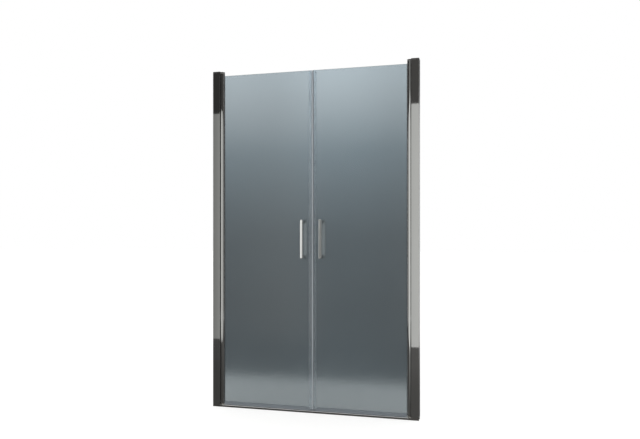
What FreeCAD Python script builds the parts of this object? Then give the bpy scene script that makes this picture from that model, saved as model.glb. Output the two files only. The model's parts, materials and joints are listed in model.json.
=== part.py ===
import FreeCAD, Part
import os
from FreeCAD import Vector

# Recess shower door with two frosted leaves that swing both ways.
# Millimetres. +X is to the right seen from outside, +Y points into the shower, +Z is up.
# The origin is on the floor, in the middle of the doorway and of the glass.
# Every side piece is modelled on the right and mirrored for the left.

# Whole door
niche_width = 1200.0
door_height = 1950.0

# Jamb, the flat profile beside the wall
jamb_face = 44.0
jamb_depth = 36.0
jamb_wall = 2.0
jamb_wall_gap = 1.5
jamb_rounding = 1.0

# Wall channel inside the jamb
channel_wall = 2.0
channel_clearance = 0.4
width_adjustment = 10.0
wall_hole_diameter = 6.0
wall_hole_end_distance = 150.0
wall_hole_count = 4

# Screws that lock the jamb to its wall channel, on the shower side
lock_screw_diameter = 3.9
lock_screw_length = 12.0
lock_screw_head_diameter = 7.2
lock_screw_head_height = 2.2
lock_screw_inset = 16.0
lock_screw_end_distance = 250.0
lock_screw_count = 4
screw_cap_wall = 1.2

# Threshold and feet
threshold_height = 12.0
threshold_depth = 36.0
threshold_wall = 1.6
threshold_chamfer = 1.5
threshold_chambers = 3
foot_step = 4.0
foot_reach = 4.5
end_gap = 0.3

# Pivot bracket and cap on the top of each jamb
bracket_thickness = 4.5
bracket_overlap = 20.0
cap_wall = 2.0
cap_skirt = 1.2
cap_clearance = 0.3
bracket_screw_diameter = 3.9
bracket_screw_grip = 18.0
bracket_screw_head_diameter = 7.4
bracket_screw_head_height = 2.0

# Pivots
axis_inset = 10.5
pin_diameter = 6.0
pin_clearance = 0.05
pin_engagement = 20.0
pin_seat = 12.0
bush_wall = 2.0
bush_length = 24.0
bush_flange_thickness = 2.0
bush_flange_inset = 3.0
thrust_gap = 0.2
top_play = 0.5

# Stile and the gasket that holds the glass in it
stile_diameter = 26.0
stile_clearance = 0.8
slot_web = 1.5
gasket_wall = 1.2
gasket_floor = 1.0
gasket_lip = 1.5

# Glass
glass_thickness = 6.0
glass_arris = 0.6
glass_top_drop = 25.0
glass_bottom_gap = 8.0

# Seals
seal_wall = 1.2
meeting_gap = 1.2
magnet_thickness = 2.4
magnet_width = 6.8
magnet_end_distance = 5.0
meeting_seal_grip = 17.0
meeting_seal_floor_gap = 1.0
bottom_seal_grip = 10.0
bottom_seal_spread = 3.0
bottom_seal_floor_gap = 0.6
jamb_seal_width = 3.5
jamb_seal_cover = 1.5
jamb_seal_clearance = 0.4

# Handles, one outside and one inside on each leaf
handle_from_middle = 54.0
handle_height = 975.0
handle_length = 222.0
handle_width = 18.0
handle_thickness = 12.0
handle_rounding = 4.5
post_spacing = 192.0
post_length = 30.0
post_diameter = 13.0
spigot_diameter = 8.0
spigot_length = 5.0
stud_diameter = 6.0
stud_grip = 16.0
washer_thickness = 1.0
glass_hole_diameter = 12.0
grub_diameter = 4.0
grub_from_washer = 8.0

# Fits
push_fit = 0.02
screw_fit = 0.1
cut_through = 1.0

# Places worked out from the sizes
wall_x = niche_width / 2
edge_x = wall_x - jamb_face
axis_x = edge_x - axis_inset
jamb_back_x = wall_x - jamb_wall_gap
half_jamb = jamb_depth / 2
stile_radius = stile_diameter / 2
port_inset = cap_skirt + cap_clearance + bracket_screw_head_diameter / 2 + screw_fit
port_radius = port_inset - jamb_wall / 2
port_x = edge_x + port_inset
port_y = half_jamb - port_inset
channel_front_x = port_x + port_radius + width_adjustment
channel_half = half_jamb - jamb_wall - channel_clearance
lock_x = wall_x - lock_screw_inset
foot_top = threshold_height + foot_step
jamb_top = door_height - cap_wall - cap_clearance - bracket_thickness
bracket_top = jamb_top + bracket_thickness
leaf_bottom = foot_top + thrust_gap + bush_flange_thickness
stile_top = jamb_top - top_play - bush_flange_thickness
pin_radius = pin_diameter / 2
bush_bore_radius = pin_radius + pin_clearance
bush_radius = bush_bore_radius + bush_wall
stile_bore_radius = bush_radius + push_fit
slot_floor_x = axis_x - stile_bore_radius - slot_web
slot_half = glass_thickness / 2 + gasket_wall
half_glass = glass_thickness / 2
glass_inner_x = slot_floor_x - gasket_floor
glass_bottom = threshold_height + glass_bottom_gap
glass_top = door_height - glass_top_drop
gasket_tip_x = axis_x - stile_radius - gasket_lip
magnet_x = meeting_gap / 2 + seal_wall + push_fit
chamber_back_x = magnet_x + magnet_thickness + push_fit
glass_free_x = chamber_back_x + seal_wall
meeting_seal_end_x = glass_free_x + meeting_seal_grip
washer_y = half_glass + washer_thickness
bar_back_y = washer_y + post_length


def block(x, y, z):
    """Box between the two limits of each axis."""
    return Part.makeBox(x[1] - x[0], y[1] - y[0], z[1] - z[0], Vector(x[0], y[0], z[0]))


def upright(x, y, z, radius):
    """Vertical cylinder between the two heights in z."""
    return Part.makeCylinder(radius, z[1] - z[0], Vector(x, y, z[0]))


def rod(start, end, radius):
    """Cylinder from one point to another."""
    return Part.makeCylinder(radius, (end - start).Length, start, end - start)


def cone(start, end, start_radius, end_radius):
    """Cone from one point to another."""
    return Part.makeCone(start_radius, end_radius, (end - start).Length, start, end - start)


def prism_along_x(points, x):
    """Outline of (y, z) points drawn out between two values of x."""
    corners = [Vector(x[0], y, z) for y, z in points]
    face = Part.Face(Part.makePolygon(corners + corners[:1]))
    return face.extrude(Vector(x[1] - x[0], 0, 0))


def spread(first, last, count):
    """Evenly spaced heights from first to last."""
    step = (last - first) / (count - 1)
    return [first + step * index for index in range(count)]


def wall_hole_heights():
    return spread(wall_hole_end_distance, door_height - wall_hole_end_distance, wall_hole_count)


def lock_screw_heights():
    return spread(lock_screw_end_distance, door_height - lock_screw_end_distance, lock_screw_count)


def post_heights():
    return [handle_height - post_spacing / 2, handle_height + post_spacing / 2]


def lock_screw_bores():
    """Clearance holes for the lock screws, through the jamb's and the channel's shower side."""
    radius = lock_screw_diameter / 2 + screw_fit
    return [
        rod(Vector(lock_x, 0, z), Vector(lock_x, half_jamb + cut_through, z), radius)
        for z in lock_screw_heights()
    ]


def jamb_block(z):
    """Space of the jamb's outside, with the two corners beside the stile rounded."""
    room = block((edge_x, jamb_back_x), (-half_jamb, half_jamb), z)
    corners = [
        edge for edge in room.Edges
        if edge.BoundBox.XMax < edge_x + jamb_rounding and edge.BoundBox.YLength < jamb_rounding
    ]
    return room.makeFillet(jamb_rounding, corners)


def with_nose(plate, plate_edge, z):
    """Plate over the jamb's end with an arm and a round nose added over the pivot axis."""
    arm = block((axis_x, plate_edge + jamb_wall), (-stile_radius, stile_radius), z)
    nose = upright(axis_x, 0, z, stile_radius)
    return plate.fuse([arm, nose]).removeSplitter()


# Frame pieces

def threshold():
    """Low hollow rail on the floor between the two feet."""
    half = threshold_depth / 2
    end_x = axis_x - foot_reach - end_gap
    shoulder = threshold_height - threshold_chamfer
    outline = [
        (-half, 0),
        (half, 0),
        (half, shoulder),
        (half - threshold_chamfer, threshold_height),
        (-half + threshold_chamfer, threshold_height),
        (-half, shoulder),
    ]
    rail = prism_along_x(outline, (-end_x, end_x))
    inner_half = half - threshold_wall - threshold_chamfer
    pitch = 2 * inner_half / threshold_chambers
    for index in range(threshold_chambers):
        start = -inner_half + index * pitch + threshold_wall / 2
        chamber = block(
            (-end_x - cut_through, end_x + cut_through),
            (start, start + pitch - threshold_wall),
            (threshold_wall, threshold_height - threshold_wall),
        )
        rail = rail.cut(chamber)
    return rail


def wall_channel():
    """U channel that is screwed to the wall and that the jamb slides over."""
    z = (foot_top + end_gap, jamb_top)
    inner_half = channel_half - channel_wall
    channel = block((channel_front_x, wall_x), (-channel_half, channel_half), z)
    hollow = block((channel_front_x - cut_through, wall_x - channel_wall), (-inner_half, inner_half), z)
    wall_holes = [
        rod(Vector(wall_x - channel_wall - cut_through, 0, height),
            Vector(wall_x + cut_through, 0, height), wall_hole_diameter / 2)
        for height in wall_hole_heights()
    ]
    return channel.cut(hollow).cut(wall_holes + lock_screw_bores())


def jamb():
    """Flat bright profile with a round pocket for the stile and two screw ports."""
    z = (foot_top, jamb_top)
    inner_half = half_jamb - jamb_wall
    pocket_radius = stile_radius + stile_clearance
    room = jamb_block(z)
    hollow = block((edge_x + jamb_wall, jamb_back_x + cut_through), (-inner_half, inner_half), z)
    pocket_wall = upright(axis_x, 0, z, pocket_radius + jamb_wall).common(room)
    ports = [upright(port_x, y, z, port_radius) for y in (-port_y, port_y)]
    port_bore_radius = bracket_screw_diameter / 2 + screw_fit
    port_bores = [upright(port_x, y, z, port_bore_radius) for y in (-port_y, port_y)]
    pocket = upright(axis_x, 0, z, pocket_radius)
    profile = room.cut(hollow).fuse([pocket_wall] + ports)
    return profile.cut([pocket] + port_bores + lock_screw_bores()).removeSplitter()


def lock_screws():
    screws = []
    for z in lock_screw_heights():
        seat = Vector(lock_x, half_jamb, z)
        tip = Vector(lock_x, half_jamb - lock_screw_length, z)
        crown = Vector(lock_x, half_jamb + lock_screw_head_height, z)
        shank = rod(tip, seat, lock_screw_diameter / 2)
        head = rod(seat, crown, lock_screw_head_diameter / 2)
        screws.append(shank.fuse(head).removeSplitter())
    return Part.makeCompound(screws)


def screw_caps():
    """Push-on covers over the heads of the lock screws."""
    room_radius = lock_screw_head_diameter / 2 + screw_fit
    room_height = lock_screw_head_height + screw_fit
    caps = []
    for z in lock_screw_heights():
        seat = Vector(lock_x, half_jamb, z)
        out = Vector(0, 1, 0)
        cover = rod(seat, seat + out * (room_height + screw_cap_wall), room_radius + screw_cap_wall)
        outer_rim = [edge for edge in cover.Edges if edge.CenterOfMass.y > seat.y + room_height]
        cover = cover.makeFillet(screw_cap_wall / 2, outer_rim[:1])
        caps.append(cover.cut(rod(seat, seat + out * room_height, room_radius)))
    return Part.makeCompound(caps)


def jamb_seal():
    """Soft strip on the jamb's inner edge that closes the gap to the stile on the shower side."""
    z = (foot_top, jamb_top)
    strip = block((edge_x - jamb_seal_width, edge_x), (0, stile_radius + jamb_seal_cover), z)
    return strip.cut(upright(axis_x, 0, z, stile_radius + jamb_seal_clearance))


def foot():
    """Cast foot under the jamb. It carries the lower pivot pin."""
    low = block((axis_x - foot_reach, jamb_back_x), (-half_jamb, half_jamb), (0, threshold_height))
    high_z = (threshold_height, foot_top)
    high = with_nose(jamb_block(high_z), edge_x, high_z)
    pin_hole = upright(axis_x, 0, (foot_top - pin_seat, foot_top), pin_radius + push_fit)
    holes = [pin_hole]
    for y in (-port_y, port_y):
        holes += countersunk_bore(Vector(port_x, y, 0), Vector(0, 0, 1), foot_top)
    return low.fuse(high).cut(holes).removeSplitter()


def countersunk_bore(face, inward, depth):
    """Clearance bore and countersink for a bracket screw that enters at face."""
    shank_radius = bracket_screw_diameter / 2 + screw_fit
    head_radius = bracket_screw_head_diameter / 2 + screw_fit
    bore = rod(face, face + inward * depth, shank_radius)
    sink = cone(face, face + inward * bracket_screw_head_height, head_radius, shank_radius)
    return [bore, sink]


def countersunk_screw(face, inward, length):
    shank_radius = bracket_screw_diameter / 2
    head_radius = bracket_screw_head_diameter / 2
    shank = rod(face, face + inward * length, shank_radius)
    head = cone(face, face + inward * bracket_screw_head_height, head_radius, shank_radius)
    return shank.fuse(head).removeSplitter()


def foot_screws():
    length = foot_top + bracket_screw_grip
    screws = [countersunk_screw(Vector(port_x, y, 0), Vector(0, 0, 1), length) for y in (-port_y, port_y)]
    return Part.makeCompound(screws)


def bottom_pin():
    return upright(axis_x, 0, (foot_top - pin_seat, leaf_bottom + pin_engagement), pin_radius)


def head_bracket():
    """Plate on the jamb's top end. Its nose carries the upper pivot pin."""
    inset = cap_skirt + cap_clearance
    half = half_jamb - inset
    z = (jamb_top, bracket_top)
    plate = block((edge_x + inset, edge_x + bracket_overlap), (-half, half), z)
    plate = with_nose(plate, edge_x + inset, z)
    holes = [upright(axis_x, 0, z, pin_radius + push_fit)]
    for y in (-port_y, port_y):
        holes += countersunk_bore(Vector(port_x, y, bracket_top), Vector(0, 0, -1), bracket_thickness)
    return plate.cut(holes)


def head_screws():
    length = bracket_thickness + bracket_screw_grip
    face_z = bracket_top
    screws = [countersunk_screw(Vector(port_x, y, face_z), Vector(0, 0, -1), length) for y in (-port_y, port_y)]
    return Part.makeCompound(screws)


def top_pin():
    return upright(axis_x, 0, (stile_top - pin_engagement, bracket_top), pin_radius)


def top_cap():
    """Bright cover over the jamb's top end, open on one side for the nose of the head bracket."""
    half = half_jamb - cap_skirt
    notch_half = stile_radius + cap_clearance
    room_z = (jamb_top, door_height - cap_wall)
    room = block((edge_x + cap_skirt, jamb_back_x - cap_skirt), (-half, half), room_z)
    notch = block((edge_x - cut_through, edge_x + 2 * cap_skirt), (-notch_half, notch_half), room_z)
    return jamb_block((jamb_top, door_height)).cut([room, notch])


# Leaf pieces

def glass():
    """Toughened pane with ground edges and two holes for the handle studs."""
    pane = block((glass_free_x, glass_inner_x), (-half_glass, half_glass), (glass_bottom, glass_top))
    pane = pane.makeChamfer(glass_arris, pane.Edges)
    for z in post_heights():
        start = Vector(handle_from_middle, -half_glass - cut_through, z)
        end = Vector(handle_from_middle, half_glass + cut_through, z)
        pane = pane.cut(rod(start, end, glass_hole_diameter / 2))
    return pane


def slot_room(z):
    """Space of the glazing slot in the stile."""
    return block((axis_x - stile_radius - cut_through, slot_floor_x), (-slot_half, slot_half), z)


def stile():
    """Round profile that turns on the pivot axis, with a bore for the bushes and a slot for the glass."""
    z = (leaf_bottom, stile_top)
    bore = upright(axis_x, 0, z, stile_bore_radius)
    return upright(axis_x, 0, z, stile_radius).cut([bore, slot_room(z)])


def glazing_gasket():
    z = (glass_bottom, glass_top)
    gasket = block((gasket_tip_x, slot_floor_x), (-slot_half, slot_half), z)
    return gasket.cut(block((gasket_tip_x - cut_through, glass_inner_x), (-half_glass, half_glass), z))


def slot_filler():
    """Strip that fills the stile's slot above the glass."""
    z = (glass_top, stile_top)
    return upright(axis_x, 0, z, stile_radius).common(slot_room(z))


def flanged_bush(seat_z, out):
    """Bush that is pushed into the stile's end at seat_z, with its flange outside."""
    seat = Vector(axis_x, 0, seat_z)
    upward = Vector(0, 0, out)
    inner_end = seat - upward * bush_length
    outer_end = seat + upward * bush_flange_thickness
    body = rod(inner_end, seat, bush_radius)
    flange = rod(seat, outer_end, stile_radius - bush_flange_inset)
    return body.fuse(flange).cut(rod(inner_end, outer_end, bush_bore_radius)).removeSplitter()


def top_bush():
    return flanged_bush(stile_top, 1)


def bottom_bush():
    return flanged_bush(leaf_bottom, -1)


def meeting_seal():
    """Clear strip on the leaf's free edge: two legs on the glass and a chamber for the magnet."""
    z = (threshold_height + meeting_seal_floor_gap, glass_top)
    chamber_half = magnet_width / 2 + push_fit
    outer_half = max(chamber_half, half_glass) + seal_wall
    leg_half = half_glass + seal_wall
    chamber = block((meeting_gap / 2, glass_free_x), (-outer_half, outer_half), z)
    room = block((magnet_x - push_fit, chamber_back_x), (-chamber_half, chamber_half), z)
    legs = block((glass_free_x, meeting_seal_end_x), (-leg_half, leg_half), z)
    pane = block((glass_free_x, meeting_seal_end_x + cut_through), (-half_glass, half_glass), z)
    return chamber.fuse(legs).cut([room, pane]).removeSplitter()


def magnet():
    z = (glass_bottom + magnet_end_distance, glass_top - magnet_end_distance)
    return block((magnet_x, magnet_x + magnet_thickness), (-magnet_width / 2, magnet_width / 2), z)


def bottom_seal():
    """Clear strip under the glass: two legs on the glass and two fins over the threshold."""
    x = (meeting_seal_end_x + end_gap, gasket_tip_x - end_gap)
    leg_half = half_glass + seal_wall
    web_bottom = glass_bottom - seal_wall
    fin_bottom = threshold_height + bottom_seal_floor_gap
    legs = block(x, (-leg_half, leg_half), (web_bottom, glass_bottom + bottom_seal_grip))
    strip = legs.cut(block(x, (-half_glass, half_glass), (glass_bottom, glass_bottom + bottom_seal_grip)))
    for side in (-1, 1):
        fin = [
            (side * (half_glass - seal_wall), web_bottom),
            (side * half_glass, web_bottom),
            (side * (half_glass + bottom_seal_spread), fin_bottom),
            (side * (half_glass + bottom_seal_spread - seal_wall), fin_bottom),
        ]
        strip = strip.fuse(prism_along_x(fin, x))
    return strip.removeSplitter()


def inside(shape):
    """The same piece on the shower side of the glass."""
    return shape.mirror(Vector(0, 0, 0), Vector(0, 1, 0))


def outer_handle_bar():
    """Flat bar with half-round ends and soft edges."""
    half = handle_width / 2
    front_y = -bar_back_y - handle_thickness
    end_z = handle_length / 2 - half
    z = (handle_height - end_z, handle_height + end_z)
    straight = block((handle_from_middle - half, handle_from_middle + half), (front_y, -bar_back_y), z)
    ends = [
        rod(Vector(handle_from_middle, front_y, height), Vector(handle_from_middle, -bar_back_y, height), half)
        for height in z
    ]
    bar = straight.fuse(ends).removeSplitter()
    rims = [edge for edge in bar.Edges if edge.BoundBox.YLength < handle_thickness / 2]
    bar = bar.makeFillet(handle_rounding, rims)
    for height in post_heights():
        mouth = Vector(handle_from_middle, -bar_back_y, height)
        bar = bar.cut(rod(mouth, mouth - Vector(0, spigot_length, 0), spigot_diameter / 2 + push_fit))
    return bar


def inner_handle_bar():
    return inside(outer_handle_bar())


def handle_post(z):
    """Outer post from the washer to the bar, with a spigot in the bar and a bore for the stud."""
    foot_end = Vector(handle_from_middle, -washer_y, z)
    shoulder = Vector(handle_from_middle, -bar_back_y, z)
    out = Vector(0, -1, 0)
    post = rod(foot_end, shoulder, post_diameter / 2)
    spigot = rod(shoulder, shoulder + out * spigot_length, spigot_diameter / 2)
    bore = rod(foot_end, foot_end + out * stud_grip, stud_diameter / 2 + push_fit)
    return post.fuse(spigot).cut(bore).removeSplitter()


def outer_handle_posts():
    return Part.makeCompound([handle_post(z) for z in post_heights()])


def grub_place(z):
    """Point on the stud's axis where a grub screw presses, in the inner post at height z."""
    return Vector(handle_from_middle, washer_y + grub_from_washer, z)


def inner_handle_posts():
    posts = []
    for z in post_heights():
        start = grub_place(z)
        bore = rod(start, start - Vector(0, 0, post_diameter), grub_diameter / 2 + push_fit)
        posts.append(inside(handle_post(z)).cut(bore))
    return Part.makeCompound(posts)


def grub_screws():
    """Set screws that lock the inner posts on the studs, from below."""
    screws = []
    for z in post_heights():
        tip = grub_place(z) - Vector(0, 0, stud_diameter / 2 + push_fit)
        end = grub_place(z) - Vector(0, 0, post_diameter / 2 - push_fit)
        screws.append(rod(tip, end, grub_diameter / 2))
    return Part.makeCompound(screws)


def handle_studs():
    """Threaded rods through the glass that tie the outer posts to the inner ones."""
    reach = washer_y + stud_grip
    x = handle_from_middle
    studs = [rod(Vector(x, -reach, z), Vector(x, reach, z), stud_diameter / 2) for z in post_heights()]
    return Part.makeCompound(studs)


def handle_washers():
    """Clear collared washers that keep posts and studs off the glass."""
    sleeve_radius = glass_hole_diameter / 2 - screw_fit
    washers = []
    for z in post_heights():
        middle = Vector(handle_from_middle, 0, z)
        face = Vector(handle_from_middle, -half_glass, z)
        seat = Vector(handle_from_middle, -washer_y, z)
        flange = rod(face, seat, post_diameter / 2 + washer_thickness)
        sleeve = rod(middle - Vector(0, push_fit, 0), face, sleeve_radius)
        bore = rod(middle, seat, stud_diameter / 2 + push_fit)
        washer = flange.fuse(sleeve).cut(bore).removeSplitter()
        washers += [washer, inside(washer)]
    return Part.makeCompound(washers)


SIDE_PIECES = [
    wall_channel,
    jamb,
    jamb_seal,
    lock_screws,
    screw_caps,
    foot,
    foot_screws,
    bottom_pin,
    head_bracket,
    head_screws,
    top_pin,
    top_cap,
    glass,
    stile,
    glazing_gasket,
    slot_filler,
    top_bush,
    bottom_bush,
    meeting_seal,
    magnet,
    bottom_seal,
    outer_handle_bar,
    inner_handle_bar,
    outer_handle_posts,
    inner_handle_posts,
    grub_screws,
    handle_studs,
    handle_washers,
]


def save(name, shape):
    if not shape.isValid():
        raise ValueError(name + " is not a valid shape")
    shape.exportStep("parts/" + name + ".step")


def build():
    os.makedirs("parts", exist_ok=True)
    save("threshold", threshold())
    for make in SIDE_PIECES:
        right = make()
        save("right_" + make.__name__, right)
        save("left_" + make.__name__, right.mirror(Vector(0, 0, 0), Vector(1, 0, 0)))


build()
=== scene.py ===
"""Finished look of a recess shower door with two frosted leaves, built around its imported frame."""
import json
import math

import bmesh
import bpy
from bpy.props import FloatProperty, FloatVectorProperty, IntProperty, PointerProperty
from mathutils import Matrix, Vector

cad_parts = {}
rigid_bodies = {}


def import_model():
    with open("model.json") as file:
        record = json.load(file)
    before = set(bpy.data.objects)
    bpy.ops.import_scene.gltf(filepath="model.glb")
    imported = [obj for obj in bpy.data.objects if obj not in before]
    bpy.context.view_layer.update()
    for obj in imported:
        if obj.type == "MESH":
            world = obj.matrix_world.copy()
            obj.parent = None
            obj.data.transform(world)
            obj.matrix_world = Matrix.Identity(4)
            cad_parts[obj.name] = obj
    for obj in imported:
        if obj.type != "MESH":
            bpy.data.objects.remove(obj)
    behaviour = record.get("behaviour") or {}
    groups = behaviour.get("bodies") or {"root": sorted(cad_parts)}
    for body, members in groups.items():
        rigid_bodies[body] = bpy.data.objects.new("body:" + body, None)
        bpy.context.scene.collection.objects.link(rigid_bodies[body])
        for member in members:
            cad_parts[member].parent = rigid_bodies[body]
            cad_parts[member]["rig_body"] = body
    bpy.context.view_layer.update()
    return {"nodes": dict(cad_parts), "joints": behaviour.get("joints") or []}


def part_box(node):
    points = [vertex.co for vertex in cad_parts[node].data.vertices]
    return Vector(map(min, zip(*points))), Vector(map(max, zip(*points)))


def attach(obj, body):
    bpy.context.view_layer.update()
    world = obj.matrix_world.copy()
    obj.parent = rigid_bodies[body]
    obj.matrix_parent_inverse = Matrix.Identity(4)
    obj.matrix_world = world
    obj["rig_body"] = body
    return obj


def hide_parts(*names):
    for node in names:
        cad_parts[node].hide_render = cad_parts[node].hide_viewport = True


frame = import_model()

bl_info = {
    "name": "Recess shower door",
    "version": (1, 0, 0),
    "blender": (4, 5, 0),
    "location": "3D View > Sidebar > Shower door",
    "description": "Builds the visible pieces of a two-leaf recess shower door around its frame",
    "category": "Object",
}

# Metres. +X is to the right seen from outside, +Y points into the shower, +Z is up.
MM = 0.001
SIDES = {"left": -1, "right": 1}
HINGE = next(joint for joint in frame["joints"] if joint["name"] == "right_leaf_hinge")
PIVOT_X = HINGE["pos_m"][0]

# Steps of a rounding and of a full circle, and the angle from which an edge is shaded as sharp
ROUND_STEPS = 6
CIRCLE_STEPS = 64
SHARP_ANGLE = math.radians(32)

# An outline's corner with a larger half angle is nearly straight and isn't rounded.
# A rounding takes at most this share of the shorter run beside its corner.
NEARLY_STRAIGHT = math.radians(75)
RUN_SHARE = 0.45

# In a copied node, points this close are joined, faces this level merged and edges this sharp rounded.
JOINED_POINTS = 0.002 * MM
LEVEL_FACES = math.radians(0.5)
SHARP_EDGES = math.radians(40)
EDGE_STEPS = 2
ROUND_PROFILE = 0.5

# Nearly all of a noise pattern lies between these two values.
NOISE_LOW = 0.3
NOISE_HIGH = 0.7

WHITE = (1, 1, 1, 1)
SENSOR_WIDTH_MM = 36.0

# Finishes of a meeting seal in the order of its material slots
MEETING_PVC = ("clear_soft_pvc", "milky_soft_pvc", "tinted_soft_pvc", "smoky_soft_pvc")


def linear_rgb(code):
    """Linear colour of an sRGB hex value."""
    channels = [int(code[place:place + 2], 16) / 255 for place in (0, 2, 4)]
    return [c / 12.92 if c <= 0.04045 else ((c + 0.055) / 1.055) ** 2.4 for c in channels]


def length_size(name, description, default):
    return FloatProperty(name=name, description=description, default=default, min=0.0, unit="LENGTH")


def surface_colour(name, description, code):
    return FloatVectorProperty(
        name=name, description=description, default=linear_rgb(code),
        size=3, min=0.0, max=1.0, subtype="COLOR",
    )


class DoorSizes(bpy.types.PropertyGroup):
    """Sizes that the boxes of the frame's nodes don't give"""

    profile_wall: length_size("Profile wall", "Wall of the wall profiles", 2 * MM)
    profile_rounding: length_size("Profile rounding", "Rounding of the wall profiles' front edges", 1 * MM)
    stile_diameter: length_size("Stile diameter", "Outside of the round stiles", 26 * MM)
    stile_bore: length_size("Stile bore", "Bore of the stiles for the pivot bushes", 10.14 * MM)
    pocket_gap: length_size("Pocket gap", "Gap between a stile and its round pocket", 0.8 * MM)
    glass_thickness: length_size("Glass thickness", "Thickness of the panes", 6 * MM)
    glass_arris: length_size("Glass arris", "Width of the ground edge of the panes", 0.6 * MM)
    glass_hole: length_size("Glass hole", "Diameter of the holes for the handle studs", 12 * MM)
    seal_wall: length_size("Seal wall", "Wall of the clear seals", 1.2 * MM)
    seal_rounding: length_size("Seal rounding", "Rounding of the seals' edges", 0.45 * MM)
    seal_gap: length_size("Seal gap", "Thin gap of air between a clear seal and what it holds", 0.04 * MM)
    nose_gap: length_size("Nose gap", "Gap between the bowed noses of the two meeting seals", 0.1 * MM)
    gasket_floor: length_size("Gasket floor", "Floor of the glazing gasket under the glass edge", 1 * MM)
    threshold_wall: length_size("Threshold wall", "Wall of the threshold rail", 1.6 * MM)
    threshold_chamfer: length_size("Threshold chamfer", "Chamfer along the threshold's top edges", 1.5 * MM)
    threshold_chambers: IntProperty(
        name="Threshold chambers", description="Hollow chambers of the threshold rail", default=3, min=1
    )
    casting_rounding: length_size(
        "Casting rounding", "Rounding of the cast feet, brackets and caps", 0.5 * MM
    )
    bar_rounding: length_size("Bar rounding", "Rounding of the handle bars' long edges", 4.5 * MM)
    post_rounding: length_size("Post rounding", "Rounding of the handle posts' rims", 0.5 * MM)
    grub_key: length_size("Grub key", "Width across flats of the grub screws' socket", 2 * MM)


class DoorColours(bpy.types.PropertyGroup):
    """Colours of the finishes"""

    aluminium: surface_colour("Polished aluminium", "Wall profiles, stiles and threshold", "D8D9D8")
    chrome: surface_colour("Chrome", "Feet, brackets and caps", "D6D5D3")
    handle_chrome: surface_colour("Handle chrome", "Handle bars and posts", "E2E4E4")
    glass: surface_colour("Etched glass", "Body tint of the frosted panes", "90989B")
    glass_edge: surface_colour("Ground glass edge", "Edges and holes of the panes", "7A8A8A")
    pvc: surface_colour("Clear PVC", "Legs of the seals, fillers and washers", "FAFDFF")
    milky_pvc: surface_colour("Milky PVC", "Noses of the meeting seals", "D6DBDF")
    tinted_pvc: surface_colour("Tinted PVC", "Webs of the meeting seals beside the glass", "B4BCC2")
    smoky_pvc: surface_colour("Smoky PVC", "Bottom seals and foot ends of the meeting seals", "929AA1")
    gasket: surface_colour("Gasket rubber", "Glazing gaskets", "3C3E40")
    magnet: surface_colour("Magnetic strip", "Strips in the meeting seals", "868C92")
    nylon: surface_colour("Nylon", "Pivot bushes", "DCDAD2")
    steel: surface_colour("Steel", "Screws, pins and studs", "B9B9BB")
    mill_aluminium: surface_colour("Mill aluminium", "Wall channels and the stiles' pockets", "C6C8CA")
    cap_plastic: surface_colour("Cap plastic", "Covers of the lock screws", "BBBDBF")


class StudioSettings(bpy.types.PropertyGroup):
    """Camera and light of the stage"""

    camera_place: FloatVectorProperty(
        name="Camera place", description="Where the camera stands", default=(1.023, -3.615, 0.988),
        size=3, subtype="XYZ", unit="LENGTH",
    )
    camera_turn: FloatProperty(
        name="Camera turn", description="Turn to the left of straight into the shower",
        default=math.radians(15.17), subtype="ANGLE",
    )
    lens: FloatProperty(
        name="Lens", description="Focal length on a 36 mm wide sensor", default=37.55, unit="CAMERA"
    )
    shift_up: FloatProperty(name="Shift up", description="Upward shift in image widths", default=0.0271)
    ambient: FloatProperty(
        name="Ambient", description="Strength of the even light from all sides", default=0.9
    )


def add_node(tree, kind, inputs=None, **settings):
    """Adds a shader node with its settings. An input is a value or the output that it is linked to."""
    made = tree.nodes.new(kind)
    for name, value in settings.items():
        setattr(made, name, value)
    for name, value in (inputs or {}).items():
        if isinstance(value, bpy.types.NodeSocket):
            tree.links.new(value, made.inputs[name])
        else:
            made.inputs[name].default_value = value
    return made


def start_material(name, colour, **sockets):
    """New material with a Principled BSDF. Returns the material, its tree and the shader."""
    material = bpy.data.materials.new(name)
    material.use_nodes = True
    shader = material.node_tree.nodes["Principled BSDF"]
    shader.inputs["Base Color"].default_value = (*colour, 1.0)
    for socket, value in sockets.items():
        shader.inputs[socket.replace("_", " ")].default_value = value
    return material, material.node_tree, shader


def grain(tree, size, stretch=(1.0, 1.0, 1.0), detail=2.0):
    """Noise whose grains are size long, and stretch times as long along each axis."""
    place = add_node(tree, "ShaderNodeTexCoord")
    scale = [1.0 / (size * factor) for factor in stretch]
    mapping = add_node(tree, "ShaderNodeMapping", {"Vector": place.outputs["Object"], "Scale": scale})
    noise = add_node(
        tree, "ShaderNodeTexNoise", {"Vector": mapping.outputs["Vector"], "Scale": 1.0, "Detail": detail}
    )
    return noise.outputs["Fac"]


def dress_surface(tree, shader, rough, shade, relief):
    """Gives a shader the small changes of a real surface, each from a pattern.

    rough is a pattern with the lowest and highest roughness, shade is one with the share of the colour
    where it is darkest, and relief is one with the strength and height of its bumps.
    """
    pattern, low, high = rough
    ranged = add_node(tree, "ShaderNodeMapRange", {
        "Value": pattern, "From Min": NOISE_LOW, "From Max": NOISE_HIGH, "To Min": low, "To Max": high,
    })
    tree.links.new(ranged.outputs["Result"], shader.inputs["Roughness"])
    pattern, darkest = shade
    colour = shader.inputs["Base Color"].default_value[:]
    dark = [channel * darkest for channel in colour[:3]]
    mix = add_node(tree, "ShaderNodeMix", {0: pattern, 6: (*dark, 1.0), 7: colour}, data_type="RGBA")
    tree.links.new(mix.outputs[2], shader.inputs["Base Color"])
    pattern, strength, height = relief
    bump = add_node(tree, "ShaderNodeBump", {"Height": pattern, "Strength": strength, "Distance": height})
    tree.links.new(bump.outputs["Normal"], shader.inputs["Normal"])


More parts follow.
